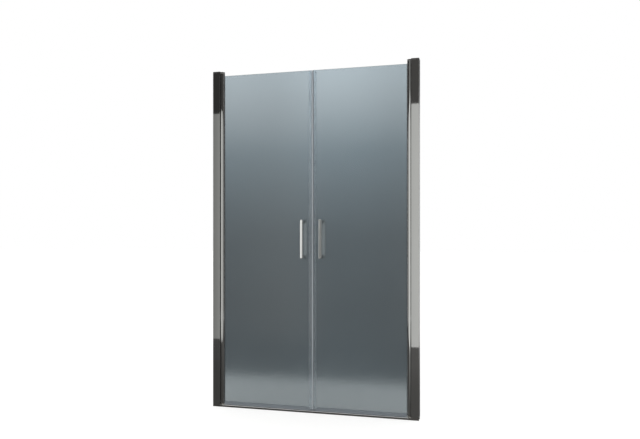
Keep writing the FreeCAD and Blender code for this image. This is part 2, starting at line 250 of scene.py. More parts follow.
def polished_aluminium(colours):
    # Extruded aluminium, polished and bright anodised: a mirror with faint die lines along its length.
    # Real die lines are about 0.2 mm apart. They are drawn 2 mm apart so that they show.
    material, tree, shader = start_material("polished_aluminium", colours.aluminium, Metallic=1.0)
    lines = grain(tree, 2 * MM, stretch=(1, 1, 300))
    patches = grain(tree, 90 * MM, stretch=(1, 1, 3))
    dress_surface(
        tree, shader, rough=(lines, 0.02, 0.05), shade=(patches, 0.93), relief=(lines, 0.03, 0.05 * MM)
    )
    return material


def polished_threshold(colours):
    # The same bright extrusion lying down, so that its die lines run along X.
    # Steps and water dull it a little.
    material, tree, shader = start_material("polished_threshold_aluminium", colours.aluminium, Metallic=1.0)
    lines = grain(tree, 2 * MM, stretch=(300, 1, 1))
    scuffs = grain(tree, 25 * MM)
    patches = grain(tree, 60 * MM)
    dress_surface(
        tree, shader, rough=(scuffs, 0.05, 0.12), shade=(patches, 0.9), relief=(lines, 0.03, 0.05 * MM)
    )
    return material


def chrome_plate(name, colour):
    # Chrome plate on a zinc casting: a clean mirror over a slight waviness of the casting.
    material, tree, shader = start_material(name, colour, Metallic=1.0)
    smudges = grain(tree, 18 * MM, detail=4.0)
    waves = grain(tree, 7 * MM, detail=1.0)
    dress_surface(
        tree, shader, rough=(smudges, 0.04, 0.11), shade=(smudges, 0.95), relief=(waves, 0.05, 0.1 * MM)
    )
    return material


def etched_glass(colours):
    # Toughened float glass with acid-etched faces: it lets light through but blurs what is behind it.
    # The etch is a satin grain of about 0.05 mm, drawn 1.5 mm wide so that it shows.
    material, tree, shader = start_material(
        "acid_etched_glass", colours.glass, Transmission_Weight=0.9, IOR=1.52, Specular_IOR_Level=0.35
    )
    etch = grain(tree, 1.5 * MM, detail=3.0)
    film = grain(tree, 120 * MM, detail=3.0)
    patches = grain(tree, 200 * MM)
    dress_surface(
        tree, shader, rough=(film, 0.22, 0.27), shade=(patches, 0.96), relief=(etch, 0.03, 0.05 * MM)
    )
    return material


def ground_glass_edge(colours):
    # Ground and seamed edge of float glass: greenish and finely matt.
    material, tree, shader = start_material(
        "ground_glass_edge", colours.glass_edge, Transmission_Weight=0.9, IOR=1.52
    )
    grit = grain(tree, 0.8 * MM)
    patches = grain(tree, 12 * MM)
    dress_surface(
        tree, shader, rough=(grit, 0.35, 0.5), shade=(patches, 0.85), relief=(grit, 0.1, 0.05 * MM)
    )
    return material


def soft_pvc(name, colour, clearness, roughness):
    # Extruded soft PVC, clear, tinted, milky or smoky: glossy as it leaves the die, with faint clouds
    # and fine lines along its length.
    material, tree, shader = start_material(
        name, colour, Transmission_Weight=clearness, IOR=1.53, Specular_IOR_Level=0.2
    )
    clouds = grain(tree, 30 * MM, detail=3.0)
    lines = grain(tree, 3 * MM, stretch=(1, 1, 80))
    dress_surface(
        tree, shader, rough=(clouds, roughness, roughness + 0.06), shade=(clouds, 0.99),
        relief=(lines, 0.02, 0.05 * MM),
    )
    return material


def gasket_rubber(colours):
    # Extruded EPDM rubber: dark, matt and slightly dusty.
    material, tree, shader = start_material("epdm_gasket_rubber", colours.gasket, Specular_IOR_Level=0.3)
    dust = grain(tree, 6 * MM, stretch=(1, 1, 4), detail=4.0)
    pores = grain(tree, 0.6 * MM)
    dress_surface(
        tree, shader, rough=(dust, 0.62, 0.78), shade=(dust, 0.8), relief=(pores, 0.15, 0.05 * MM)
    )
    return material


def magnetic_strip(colours):
    # Ferrite powder in flexible plastic, with a light coating: matt, with fine lines along the strip.
    material, tree, shader = start_material("coated_magnetic_strip", colours.magnet, Specular_IOR_Level=0.3)
    lines = grain(tree, 1 * MM, stretch=(1, 1, 60))
    dress_surface(
        tree, shader, rough=(lines, 0.5, 0.65), shade=(lines, 0.92), relief=(lines, 0.1, 0.05 * MM)
    )
    return material


def moulded_nylon(colours):
    # Injection-moulded nylon: off-white, silky and a little translucent at thin rims.
    material, tree, shader = start_material(
        "moulded_nylon", colours.nylon, Subsurface_Weight=0.15,
        Subsurface_Radius=(1.5 * MM, 1.2 * MM, 0.9 * MM), Subsurface_Scale=1.0,
    )
    specks = grain(tree, 0.8 * MM)
    patches = grain(tree, 8 * MM)
    dress_surface(
        tree, shader, rough=(specks, 0.42, 0.55), shade=(patches, 0.95), relief=(specks, 0.12, 0.03 * MM)
    )
    return material


def turned_steel(colours):
    # Zinc-plated turned steel: grey, with a short-lined sheen.
    material, tree, shader = start_material("zinc_plated_steel", colours.steel, Metallic=1.0)
    lines = grain(tree, 0.5 * MM, stretch=(1, 6, 1))
    patches = grain(tree, 4 * MM)
    dress_surface(
        tree, shader, rough=(lines, 0.25, 0.4), shade=(patches, 0.88), relief=(lines, 0.1, 0.03 * MM)
    )
    return material


def mill_aluminium(colours):
    # Extruded aluminium as it leaves the mill: satin, with plain die lines.
    material, tree, shader = start_material("mill_finish_aluminium", colours.mill_aluminium, Metallic=1.0)
    lines = grain(tree, 1.2 * MM, stretch=(1, 1, 250))
    patches = grain(tree, 50 * MM, stretch=(1, 1, 4))
    dress_surface(
        tree, shader, rough=(lines, 0.3, 0.42), shade=(patches, 0.9), relief=(lines, 0.12, 0.1 * MM)
    )
    return material


def moulded_abs(colours):
    # Injection-moulded ABS: light grey, half gloss, with a fine spark texture.
    material, tree, shader = start_material("moulded_abs", colours.cap_plastic)
    specks = grain(tree, 0.7 * MM)
    patches = grain(tree, 9 * MM)
    dress_surface(
        tree, shader, rough=(specks, 0.3, 0.42), shade=(patches, 0.94), relief=(specks, 0.1, 0.03 * MM)
    )
    return material


def finish_named(name):
    """The material of that name, made on its first use."""
    makers = {
        "polished_aluminium": polished_aluminium,
        "polished_threshold_aluminium": polished_threshold,
        "chrome_plated_zinc": lambda colours: chrome_plate("chrome_plated_zinc", colours.chrome),
        "chrome_plated_handle": lambda colours: chrome_plate("chrome_plated_handle", colours.handle_chrome),
        "acid_etched_glass": etched_glass,
        "ground_glass_edge": ground_glass_edge,
        "clear_soft_pvc": lambda colours: soft_pvc("clear_soft_pvc", colours.pvc, 0.99, 0.12),
        "tinted_soft_pvc": lambda colours: soft_pvc("tinted_soft_pvc", colours.tinted_pvc, 0.97, 0.12),
        "milky_soft_pvc": lambda colours: soft_pvc("milky_soft_pvc", colours.milky_pvc, 0.1, 0.3),
        "smoky_soft_pvc": lambda colours: soft_pvc("smoky_soft_pvc", colours.smoky_pvc, 0.3, 0.3),
        "epdm_gasket_rubber": gasket_rubber,
        "coated_magnetic_strip": magnetic_strip,
        "moulded_nylon": moulded_nylon,
        "zinc_plated_steel": turned_steel,
        "mill_finish_aluminium": mill_aluminium,
        "moulded_abs": moulded_abs,
    }
    return bpy.data.materials.get(name) or makers[name](bpy.context.scene.door_colours)


def arc(centre, radius, start, end, steps=CIRCLE_STEPS):
    """Points of an arc between two angles in degrees, both ends included."""
    angles = [math.radians(start + (end - start) * step / steps) for step in range(steps + 1)]
    return [(centre[0] + radius * math.cos(a), centre[1] + radius * math.sin(a)) for a in angles]


def circle(centre, radius):
    return arc(centre, radius, 0, 360)[:-1]


def rectangle(u, v):
    return [(u[0], v[0]), (u[1], v[0]), (u[1], v[1]), (u[0], v[1])]


def rounded(outline, radius):
    """The outline with an arc at each sharp corner, as large as its two runs allow."""
    points = [Vector(point) for point in outline]
    made = []
    for index, corner in enumerate(points):
        back = points[index - 1] - corner
        ahead = points[(index + 1) % len(points)] - corner
        half = back.angle(ahead) / 2
        if half > NEARLY_STRAIGHT:
            made.append(tuple(corner))
            continue
        run = min(radius / math.tan(half), RUN_SHARE * min(back.length, ahead.length))
        bend = run * math.tan(half)
        centre = corner + (back.normalized() + ahead.normalized()).normalized() * (bend / math.sin(half))
        first = corner + back.normalized() * run - centre
        last = corner + ahead.normalized() * run - centre
        turn = math.atan2(first.x * last.y - first.y * last.x, first.dot(last))
        start = math.atan2(first.y, first.x)
        made += arc(centre, bend, math.degrees(start), math.degrees(start + turn), ROUND_STEPS)
    return made


def upright(sign):
    """Places an outline in plan at height w. The right side's outline is mirrored for the left."""
    return lambda u, v, w: (sign * u, v, w)


def lengthwise(sign):
    """Places an outline of (y, z) points at the distance w from the middle."""
    return lambda u, v, w: (sign * w, u, v)


def face_on(sign):
    """Places an outline of (x, z) points at the depth w."""
    return lambda u, v, w: (sign * u, w, v)


def add_solid(mesh, levels, place):
    """Adds a closed solid.

    Each level is its place w and its loops, of which the first is the outside and the others are holes.
    """
    rows = [[[mesh.verts.new(place(u, v, w)) for u, v in loop] for loop in loops] for w, loops in levels]
    for low, high in zip(rows, rows[1:]):
        for low_ring, high_ring in zip(low, high):
            for index in range(len(low_ring)):
                after = (index + 1) % len(low_ring)
                mesh.faces.new((low_ring[index], low_ring[after], high_ring[after], high_ring[index]))
    for row in (rows[0], rows[-1]):
        rim = [mesh.edges.get((ring[index - 1], ring[index])) for ring in row for index in range(len(ring))]
        bmesh.ops.triangle_fill(mesh, use_beauty=True, edges=rim)


def prism(loops, span):
    """Levels of a straight prism."""
    return [(span[0], loops), (span[1], loops)]


def add_piece(node, mesh, finishes, pick=None):
    """Makes the object that stands for a node of the frame, and lets it ride on the node's body.

    Where there is more than one finish, pick gives each face the index of its own.
    """
    if not mesh.faces:
        raise RuntimeError("no faces were made for " + node)
    bmesh.ops.recalc_face_normals(mesh, faces=mesh.faces)
    if pick:
        for face in mesh.faces:
            face.material_index = pick(face)
    data = bpy.data.meshes.new(node + "_visual")
    mesh.to_mesh(data)
    mesh.free()
    data.shade_smooth()
    data.set_sharp_from_angle(angle=SHARP_ANGLE)
    for finish in finishes:
        data.materials.append(finish_named(finish))
    piece = bpy.data.objects.new(node + "_visual", data)
    bpy.context.scene.collection.objects.link(piece)
    # Flat faces stay flat to the eye beside their rounded edges.
    piece.modifiers.new("flat_faces", "WEIGHTED_NORMAL").keep_sharp = True
    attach(piece, frame["nodes"][node]["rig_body"])
    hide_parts(node)


def add_solid_piece(node, levels, place, finishes, pick=None):
    """Makes a piece that is one closed solid."""
    mesh = bmesh.new()
    add_solid(mesh, levels, place)
    add_piece(node, mesh, finishes, pick)


def dress_node(node, finish):
    """Gives a node of the frame that stays as it is its finished material."""
    for slot in frame["nodes"][node].material_slots:
        slot.material = finish_named(finish)


def softened(node, rounding):
    """Copy of a node's mesh with its sharp edges rounded."""
    mesh = bmesh.new()
    mesh.from_mesh(frame["nodes"][node].data)
    bmesh.ops.remove_doubles(mesh, verts=mesh.verts, dist=JOINED_POINTS)
    bmesh.ops.dissolve_limit(
        mesh, angle_limit=LEVEL_FACES, use_dissolve_boundaries=False, verts=mesh.verts, edges=mesh.edges
    )
    sharp = [edge for edge in mesh.edges if edge.is_manifold and edge.calc_face_angle() > SHARP_EDGES]
    bmesh.ops.bevel(
        mesh, geom=sharp, offset=rounding, segments=EDGE_STEPS, profile=ROUND_PROFILE,
        affect="EDGES", clamp_overlap=True,
    )
    return mesh


class DOOR_OT_jambs(bpy.types.Operator):
    """Bright wall profiles, open towards the wall, with a round pocket for the stile"""

    bl_idname = "door.jambs"
    bl_label = "Wall profiles"

    def execute(self, context):
        sizes = context.scene.door_sizes
        low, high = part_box("right_jamb")
        wall = sizes.profile_wall
        pocket = sizes.stile_diameter / 2 + sizes.pocket_gap
        inset = low.x - PIVOT_X
        mouth = math.degrees(math.acos(inset / pocket))
        back_mouth = math.degrees(math.acos((inset + wall) / (pocket + wall)))
        pivot = (PIVOT_X, 0)
        outline = [(high.x, low.y), (high.x, low.y + wall), (low.x + wall, low.y + wall)]
        outline += arc(pivot, pocket + wall, -back_mouth, back_mouth)
        outline += [(low.x + wall, high.y - wall), (high.x, high.y - wall), (high.x, high.y), (low.x, high.y)]
        outline += arc(pivot, pocket, mouth, -mouth)
        outline += [(low.x, low.y)]
        loop = rounded(outline, sizes.profile_rounding)
        for side, sign in SIDES.items():
            add_solid_piece(
                side + "_jamb", prism([loop], (low.z, high.z)), upright(sign),
                ("polished_aluminium", "mill_finish_aluminium"),
                lambda face: int(self.distance_from_pivot(face) < pocket + sizes.pocket_gap),
            )
            dress_node(side + "_wall_channel", "mill_finish_aluminium")
        return {"FINISHED"}

    def distance_from_pivot(self, face):
        centre = face.calc_center_median()
        return math.hypot(abs(centre.x) - PIVOT_X, centre.y)


class DOOR_OT_castings(bpy.types.Operator):
    """Chromed feet, head brackets and top caps with softened edges"""

    bl_idname = "door.castings"
    bl_label = "Feet, brackets and caps"

    def execute(self, context):
        rounding = context.scene.door_sizes.casting_rounding
        for side in SIDES:
            for name in ("foot", "head_bracket", "top_cap"):
                node = side + "_" + name
                add_piece(node, softened(node, rounding), ["chrome_plated_zinc"])
        return {"FINISHED"}


class DOOR_OT_threshold(bpy.types.Operator):
    """Low hollow rail along the floor"""

    bl_idname = "door.threshold"
    bl_label = "Threshold"

    def execute(self, context):
        sizes = context.scene.door_sizes
        low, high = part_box("threshold")
        chamfer = sizes.threshold_chamfer
        edge_rounding = chamfer / 3
        wall = sizes.threshold_wall
        outline = [
            (low.y, low.z), (high.y, low.z), (high.y, high.z - chamfer),
            (high.y - chamfer, high.z), (low.y + chamfer, high.z), (low.y, high.z - chamfer),
        ]
        loops = [rounded(outline, edge_rounding)]
        inner = high.y - wall - chamfer
        pitch = 2 * inner / sizes.threshold_chambers
        for index in range(sizes.threshold_chambers):
            start = -inner + index * pitch + wall / 2
            loops.append(rectangle((start, start + pitch - wall), (low.z + wall, high.z - wall)))
        add_solid_piece(
            "threshold", prism(loops, (low.x, high.x)), lengthwise(1),
            ["polished_threshold_aluminium"],
        )
        return {"FINISHED"}


class DOOR_OT_stiles(bpy.types.Operator):
    """Round bright stiles with the slot for the glass, the gasket in it and the filler above it"""

    bl_idname = "door.stiles"
    bl_label = "Stiles and gaskets"

    def execute(self, context):
        sizes = context.scene.door_sizes
        low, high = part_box("right_stile")
        gasket_low, gasket_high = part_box("right_glazing_gasket")
        filler_low, filler_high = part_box("right_slot_filler")
        radius = sizes.stile_diameter / 2
        slot_floor = gasket_high.x
        slot_half = gasket_high.y
        lip = 180 - math.degrees(math.asin(slot_half / radius))
        pivot = (PIVOT_X, 0)
        stile_line = arc(pivot, radius, -lip, lip, 2 * CIRCLE_STEPS)
        stile_line += [(slot_floor, slot_half), (slot_floor, -slot_half)]
        bore = circle(pivot, sizes.stile_bore / 2)
        filler_line = arc(pivot, radius, lip, 360 - lip, ROUND_STEPS)
        filler_line += [(slot_floor, -slot_half), (slot_floor, slot_half)]
        seat = sizes.glass_thickness / 2
        seat_x = slot_floor - sizes.gasket_floor
        gasket_line = [
            (gasket_low.x, -slot_half), (slot_floor, -slot_half),
            (slot_floor, slot_half), (gasket_low.x, slot_half),
            (gasket_low.x, seat), (seat_x, seat), (seat_x, -seat), (gasket_low.x, -seat),
        ]
        stile = prism([rounded(stile_line, sizes.seal_rounding), bore], (low.z, high.z))
        gasket = prism([rounded(gasket_line, sizes.seal_rounding)], (gasket_low.z, gasket_high.z))
        filler = prism([filler_line], (filler_low.z, filler_high.z))
        for side, sign in SIDES.items():
            place = upright(sign)
            add_solid_piece(side + "_stile", stile, place, ["polished_aluminium"])
            add_solid_piece(side + "_glazing_gasket", gasket, place, ["epdm_gasket_rubber"])
            add_solid_piece(side + "_slot_filler", filler, place, ["clear_soft_pvc"])
        return {"FINISHED"}


class DOOR_OT_panes(bpy.types.Operator):
    """Frosted panes with ground edges and holes for the handle studs"""

    bl_idname = "door.panes"
    bl_label = "Glass panes"

    def execute(self, context):
        sizes = context.scene.door_sizes
        low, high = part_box("right_glass")
        arris = sizes.glass_arris
        hole = sizes.glass_hole / 2
        holes = self.stud_points()
        levels = []
        for depth, inset in ((low.y, arris), (low.y + arris, 0), (high.y - arris, 0), (high.y, arris)):
            outside = rectangle((low.x + inset, high.x - inset), (low.z + inset, high.z - inset))
            levels.append((depth, [outside] + [circle(point, hole + inset / 2) for point in holes]))
        # A face that looks less than this along Y is ground.
        etched_normal = 0.99
        for side, sign in SIDES.items():
            add_solid_piece(
                side + "_glass", levels, face_on(sign),
                ("acid_etched_glass", "ground_glass_edge"),
                lambda face: int(abs(face.normal.y) < etched_normal),
            )
        return {"FINISHED"}

    def stud_points(self):
        """Centres of the right leaf's two handle studs as (x, z)."""
        low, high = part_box("right_outer_handle_posts")
        half = (high.x - low.x) / 2
        return [((low.x + high.x) / 2, low.z + half), ((low.x + high.x) / 2, high.z - half)]


class DOOR_OT_seals(bpy.types.Operator):
    """Clear seals on the free edges, under the glass and beside the stiles, with their magnetic strips"""

    bl_idname = "door.seals"
    bl_label = "Seals and magnets"

    def execute(self, context):
        sizes = context.scene.door_sizes
        seals = {
            "meeting_seal": (self.meeting_loops(sizes), MEETING_PVC, "clear_pvc", self.pvc_of_face),
            "magnet": (self.magnet_loops(sizes), ["coated_magnetic_strip"], "magnet_strip", None),
            "jamb_seal": (self.jamb_loops(), ["clear_soft_pvc"], "clear_pvc", None),
        }
        glass_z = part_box("right_glass")[0].z
        for side, sign in SIDES.items():
            for name, (loops, finishes, slot, pick) in seals.items():
                low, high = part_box("right_" + name)
                levels = [(low.z, loops), (max(glass_z, low.z + sizes.seal_wall), loops), (high.z, loops)]
                add_solid_piece(side + "_" + name, levels, upright(sign), finishes, pick)
            low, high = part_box("right_bottom_seal")
            levels = prism(self.bottom_loops(sizes), (low.x, high.x))
            add_solid_piece(side + "_bottom_seal", levels, lengthwise(sign), ["smoky_soft_pvc"])
        return {"FINISHED"}

    def pvc_of_face(self, face):
        """Index of a face's PVC: smoky below the glass, milky on the nose, tinted on the web, else clear."""
        centre = face.calc_center_median()
        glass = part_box("right_glass")[0]
        strip_low, strip_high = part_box("right_magnet")
        if centre.z < glass.z:
            finish = "smoky_soft_pvc"
        elif abs(centre.x) <= strip_low.x:
            finish = "milky_soft_pvc"
        elif strip_high.x < abs(centre.x) < glass.x:
            finish = "tinted_soft_pvc"
        else:
            finish = "clear_soft_pvc"
        return MEETING_PVC.index(finish)

    def meeting_loops(self, sizes):
        """Two legs on the glass, a chamber for the magnet and a bowed nose."""
        low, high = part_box("right_meeting_seal")
        strip_low, strip_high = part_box("right_magnet")
        glass_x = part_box("right_glass")[0].x
        gap = sizes.seal_gap
        seat = sizes.glass_thickness / 2 + gap
        leg = sizes.glass_thickness / 2 + sizes.seal_wall
        half = [
            (high.x, seat), (high.x, leg), (glass_x, leg), (glass_x - sizes.seal_wall, high.y),
            (strip_low.x, high.y), (low.x, high.y),
        ]
        # The nose comes nearest to the other seal in the middle of its depth.
        crest = sizes.nose_gap / 2
        depth_shares = (0.8, 0.6, 0.4, 0.2)
        half += [(crest + (low.x - crest) * share ** 2, high.y * share) for share in depth_shares]
        outline = [(glass_x - gap, -seat), (glass_x - gap, seat)] + half
        outline += [(u, -v) for u, v in reversed(half)]
        room = rectangle((strip_low.x - gap, strip_high.x + gap), (strip_low.y - gap, strip_high.y + gap))
        return [rounded(outline, sizes.seal_rounding), room]

    def magnet_loops(self, sizes):
        low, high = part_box("right_magnet")
        return [rounded(rectangle((low.x, high.x), (low.y, high.y)), sizes.seal_rounding)]

    def jamb_loops(self):
        """Strip beside the stile, hollowed to the stile's round side."""
        low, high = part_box("right_jamb_seal")
        radius = math.hypot(PIVOT_X - high.x, low.y)
        start = math.degrees(math.acos((high.x - PIVOT_X) / radius))
        end = math.degrees(math.acos((low.x - PIVOT_X) / radius))
        outline = arc((PIVOT_X, 0), radius, start, end, ROUND_STEPS)
        return [outline + [(low.x, high.y), (high.x, high.y)]]

    def bottom_loops(self, sizes):
        """Two legs on the glass and two fins over the threshold, as (y, z)."""
        low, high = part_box("right_bottom_seal")
        wall = sizes.seal_wall
        seat = sizes.glass_thickness / 2
        glass_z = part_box("right_glass")[0].z
        web = glass_z - wall
        inside = seat + sizes.seal_gap
        floor = glass_z - sizes.seal_gap
        half = [
            (seat - wall, web), (high.y - wall, low.z), (high.y, low.z), (seat, web), (seat + wall, web),
            (seat + wall, high.z), (inside, high.z), (inside, floor),
        ]
        return [rounded(half + [(-u, v) for u, v in reversed(half)], sizes.seal_rounding)]


class DOOR_OT_handles(bpy.types.Operator):
    """Chromed bar handles on two posts, outside and inside, with washers, studs and grub screws"""

    bl_idname = "door.handles"
    bl_label = "Handles"

    def execute(self, context):
        sizes = context.scene.door_sizes
        for side in SIDES:
            for face in ("outer", "inner"):
                self.add_bar(side + "_" + face + "_handle_bar", sizes)
                self.add_posts(side + "_" + face + "_handle_posts", face, sizes)
            self.add_grub_screws(side + "_grub_screws", sizes)
            dress_node(side + "_handle_studs", "zinc_plated_steel")
            dress_node(side + "_handle_washers", "clear_soft_pvc")
        return {"FINISHED"}

    def add_bar(self, node, sizes):
        """Flat bar with half-round ends and soft edges."""
        low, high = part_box(node)
        middle = (low + high) / 2
        half_width = (high.x - low.x) / 2
        half_length = (high.z - low.z) / 2
        end = half_length - half_width
        half_turn = CIRCLE_STEPS // 2
        levels = []
        for edge, direction in ((low.y, 1), (high.y, -1)):
            rim = []
            for step in range(ROUND_STEPS + 1):
                angle = math.radians(90 * step / ROUND_STEPS)
                inset = sizes.bar_rounding * (1 - math.sin(angle))
                depth = edge + direction * sizes.bar_rounding * (1 - math.cos(angle))
                outline = arc((middle.x, middle.z + end), half_width - inset, 0, 180, half_turn)
                outline += arc((middle.x, middle.z - end), half_width - inset, 180, 360, half_turn)
                rim.append((depth, [outline]))
            levels += rim if direction > 0 else reversed(rim)
        add_solid_piece(node, levels, face_on(1), ["chrome_plated_handle"])

    def add_posts(self, node, face, sizes):
        """Round posts from the washers to the bar, with softened rims."""
        low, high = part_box(node)
        bar_low, bar_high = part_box(node.replace("posts", "bar"))
        if face == "outer":
            start, end = bar_high.y, high.y
        else:
            start, end = low.y, bar_low.y
        radius = (high.x - low.x) / 2
        rim = sizes.post_rounding
        third = rim / 3
        steps = (
            (start, rim), (start + third, third), (start + rim, 0),
            (end - rim, 0), (end - third, third), (end, rim),
        )
        mesh = bmesh.new()
        for x, z in ((low.x + radius, low.z + radius), (low.x + radius, high.z - radius)):
            levels = [(depth, [circle((x, z), radius - inset)]) for depth, inset in steps]
            add_solid(mesh, levels, face_on(1))
        add_piece(node, mesh, ["chrome_plated_handle"])

    def add_grub_screws(self, node, sizes):
        """Set screws in the inner posts, with a hexagon socket in the end that shows from below."""
        low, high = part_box(node)
        post_low, post_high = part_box(node.replace("grub_screws", "inner_handle_posts"))
        radius = (high.x - low.x) / 2
        centre = (low.x + radius, low.y + radius)
        corner = sizes.grub_key / math.sqrt(3)
        hexagon = 6
        socket_share = 0.6
        outside = circle(centre, radius)
        socket = arc(centre, corner, 0, 360, hexagon)[:-1]
        spacing = (post_high.z - post_low.z) - (post_high.x - post_low.x)
        length = high.z - low.z - spacing
        mesh = bmesh.new()
        for bottom in (low.z, low.z + spacing):
            socket_end = bottom + length * socket_share
            add_solid(mesh, prism([outside, socket], (bottom, socket_end)), upright(1))
            add_solid(mesh, prism([outside], (socket_end, bottom + length)), upright(1))
        add_piece(node, mesh, ["zinc_plated_steel"])


class DOOR_OT_fixings(bpy.types.Operator):
    """Screws with their covers, pivot pins and bushes"""

    bl_idname = "door.fixings"
    bl_label = "Screws and pivots"

    def execute(self, context):
        finishes = {
            "zinc_plated_steel": ("lock_screws", "foot_screws", "head_screws", "bottom_pin", "top_pin"),
            "moulded_nylon": ("top_bush", "bottom_bush"),
            "moulded_abs": ("screw_caps",),
        }
        for finish, names in finishes.items():
            for side in SIDES:
                for name in names:
                    dress_node(side + "_" + name, finish)
        return {"FINISHED"}


def seen_share(tree):
    """1 for rays from the camera, from reflections and through glass, which all see the white studio."""
    path = add_node(tree, "ShaderNodeLightPath").outputs
    direct = add_node(
        tree, "ShaderNodeMath", {0: path["Is Camera Ray"], 1: path["Is Glossy Ray"]}, operation="MAXIMUM"
    )
    both = add_node(
        tree, "ShaderNodeMath", {0: direct.outputs[0], 1: path["Is Transmission Ray"]}, operation="MAXIMUM"
    )
    return both.outputs[0]


class DOOR_OT_stage(bpy.types.Operator):
    """Pale floor, white surroundings, cards for reflections and the glass, soft lamps and the camera"""

    bl_idname = "door.stage"
    bl_label = "Stage"

    def execute(self, context):
        studio = context.scene.door_studio
        context.scene.view_settings.view_transform = "Standard"
        self.add_world(context.scene, studio)
        self.add_floor()
        self.add_cards()
        self.add_handle_card()
        self.add_lamps()
        self.add_camera(context.scene, studio)
        return {"FINISHED"}

    def add_world(self, scene, studio):
        world = bpy.data.worlds.new("white_studio")
        scene.world = world
        world.use_nodes = True
        tree = world.node_tree
        tree.nodes.clear()
        seen = add_node(tree, "ShaderNodeBackground", {"Color": WHITE, "Strength": 1.0})
        even = add_node(tree, "ShaderNodeBackground", {"Color": WHITE, "Strength": studio.ambient})
        mix = add_node(
            tree, "ShaderNodeMixShader", {0: seen_share(tree), 1: even.outputs[0], 2: seen.outputs[0]}
        )
        add_node(tree, "ShaderNodeOutputWorld", {"Surface": mix.outputs[0]})

    def add_plane(self, name, corners, material):
        data = bpy.data.meshes.new(name)
        data.from_pydata(corners, [], [(0, 1, 2, 3)])
        data.materials.append(material)
        plane = bpy.data.objects.new(name, data)
        bpy.context.scene.collection.objects.link(plane)
        return plane

    def add_floor(self):
        """Floor that shows its own shading with the door's shadow, mixed with a plain white."""
        white_strength = 1.36
        white_share = 0.5
        reach = 40.0
        level = -0.5 * MM
        material, tree, shader = start_material(
            "pale_floor", linear_rgb("F4F4F2"), Roughness=0.9, Specular_IOR_Level=0.0
        )
        white = add_node(tree, "ShaderNodeEmission", {"Color": WHITE, "Strength": white_strength})
        share = add_node(tree, "ShaderNodeMath", {0: seen_share(tree), 1: white_share}, operation="MULTIPLY")
        mix = add_node(
            tree, "ShaderNodeMixShader", {0: share.outputs[0], 1: shader.outputs[0], 2: white.outputs[0]}
        )
        tree.links.new(mix.outputs[0], tree.nodes["Material Output"].inputs["Surface"])
        corners = [(u, v, level) for u, v in rectangle((-reach, reach), (-reach, reach))]
        self.add_plane("floor", corners, material)

    def glow_along(self, tree, code, axis, stops):
        """Colour that follows stops along one axis.

        A stop is a place in metres and a level, and may have its own colour after them.
        """
        first = stops[0][0]
        last = stops[-1][0]
        place = add_node(tree, "ShaderNodeTexCoord").outputs["Object"]
        along = add_node(tree, "ShaderNodeSeparateXYZ", {"Vector": place}).outputs[axis]
        share = add_node(tree, "ShaderNodeMapRange", {"Value": along, "From Min": first, "From Max": last})
        ramp = add_node(tree, "ShaderNodeValToRGB", {"Fac": share.outputs["Result"]})
        marks = ramp.color_ramp.elements
        ready = len(marks)
        for index, (where, level, *own) in enumerate(stops):
            spot = (where - first) / (last - first)
            mark = marks[index] if index < ready else marks.new(spot)
            mark.position = spot
            mark.color = [level * channel for channel in linear_rgb(own[0] if own else code)] + [1.0]
        return ramp.outputs["Color"]

    def glowing(self, name, code, axis, stops):
        """Material of a card that glows by stops along one axis."""
        material, tree, shader = start_material(
            name, linear_rgb("000000"), Roughness=1.0, Emission_Strength=1.0
        )
        tree.links.new(self.glow_along(tree, code, axis, stops), shader.inputs["Emission Color"])
        return material

    def graded_backdrop(self):
        """Material of the backdrop that shows through the glass.

        It is light at the top, dark and bluish below, and a little brighter in the middle of its width.
        """
        heights = (
            (0.0, 0.23), (0.49, 0.198), (1.0, 0.271), (1.29, 0.448), (1.58, 0.7),
            (1.95, 1.41, "F6FBFF"), (2.1, 1.67, "F6FBFF"), (2.5, 1.8, "F6FBFF"),
        )
        widths = ((-0.9, 1.03), (-0.5, 1.0), (-0.14, 1.25), (0.1, 1.22), (0.36, 1.03))
        material, tree, shader = start_material("graded_backdrop", linear_rgb("000000"), Roughness=1.0)
        strength = self.glow_along(tree, "FFFFFF", "X", widths)
        tree.links.new(strength, shader.inputs["Emission Strength"])
        # Rays that chrome has mirrored see one plain level. Chrome in front of the glass looks through the
        # two faces of one pane and gets the backdrop's mean. Chrome behind it looks through the pane twice
        # and gets the white studio.
        one_pane = 2.0
        pane_twice = 4.0
        mean_level = 0.35
        studio_level = 1.13
        path = add_node(tree, "ShaderNodeLightPath").outputs
        plain = add_node(tree, "ShaderNodeMapRange", {
            "Value": path["Transmission Depth"], "From Min": one_pane, "From Max": pane_twice,
            "To Min": mean_level, "To Max": studio_level,
        })
        graded = self.glow_along(tree, "E5F5FF", "Z", heights)
        mix = add_node(
            tree, "ShaderNodeMix", {0: path["Glossy Depth"], 6: graded, 7: plain.outputs["Result"]},
            data_type="RGBA",
        )
        tree.links.new(mix.outputs[2], shader.inputs["Emission Color"])
        return material

    def add_cards(self):
        """Cards before and behind the door that only reflections or rays through glass show."""
        cloth = "FFFFFC"
        front_softbox = self.glowing("front_softbox_cloth", cloth, "X", (
            (-1.3, 0.2), (-0.6, 1.05), (-0.46, 1.05), (-0.37, 0.18), (0.1, 0.3), (0.4, 0.62),
            (0.6, 0.6), (0.9, 0.2), (1.9, 0.12),
        ))
        rear_softbox = self.glowing("rear_softbox_cloth", cloth, "X", (
            (-1.9, 0.3), (-0.6, 0.8), (0.6, 0.5), (1.9, 0.9),
        ))
        strip = self.glowing("strip_light_cloth", cloth, "Z", (
            (0.0, 0.1), (0.3, 0.4), (0.37, 1.2), (1.78, 1.2), (1.86, 0.45), (2.3, 0.4),
        ))
        flag = self.glowing("dark_flag_cloth", "FFFBF6", "X", ((-1.3, 0.03), (0.4, 0.072)))
        backdrop = self.graded_backdrop()
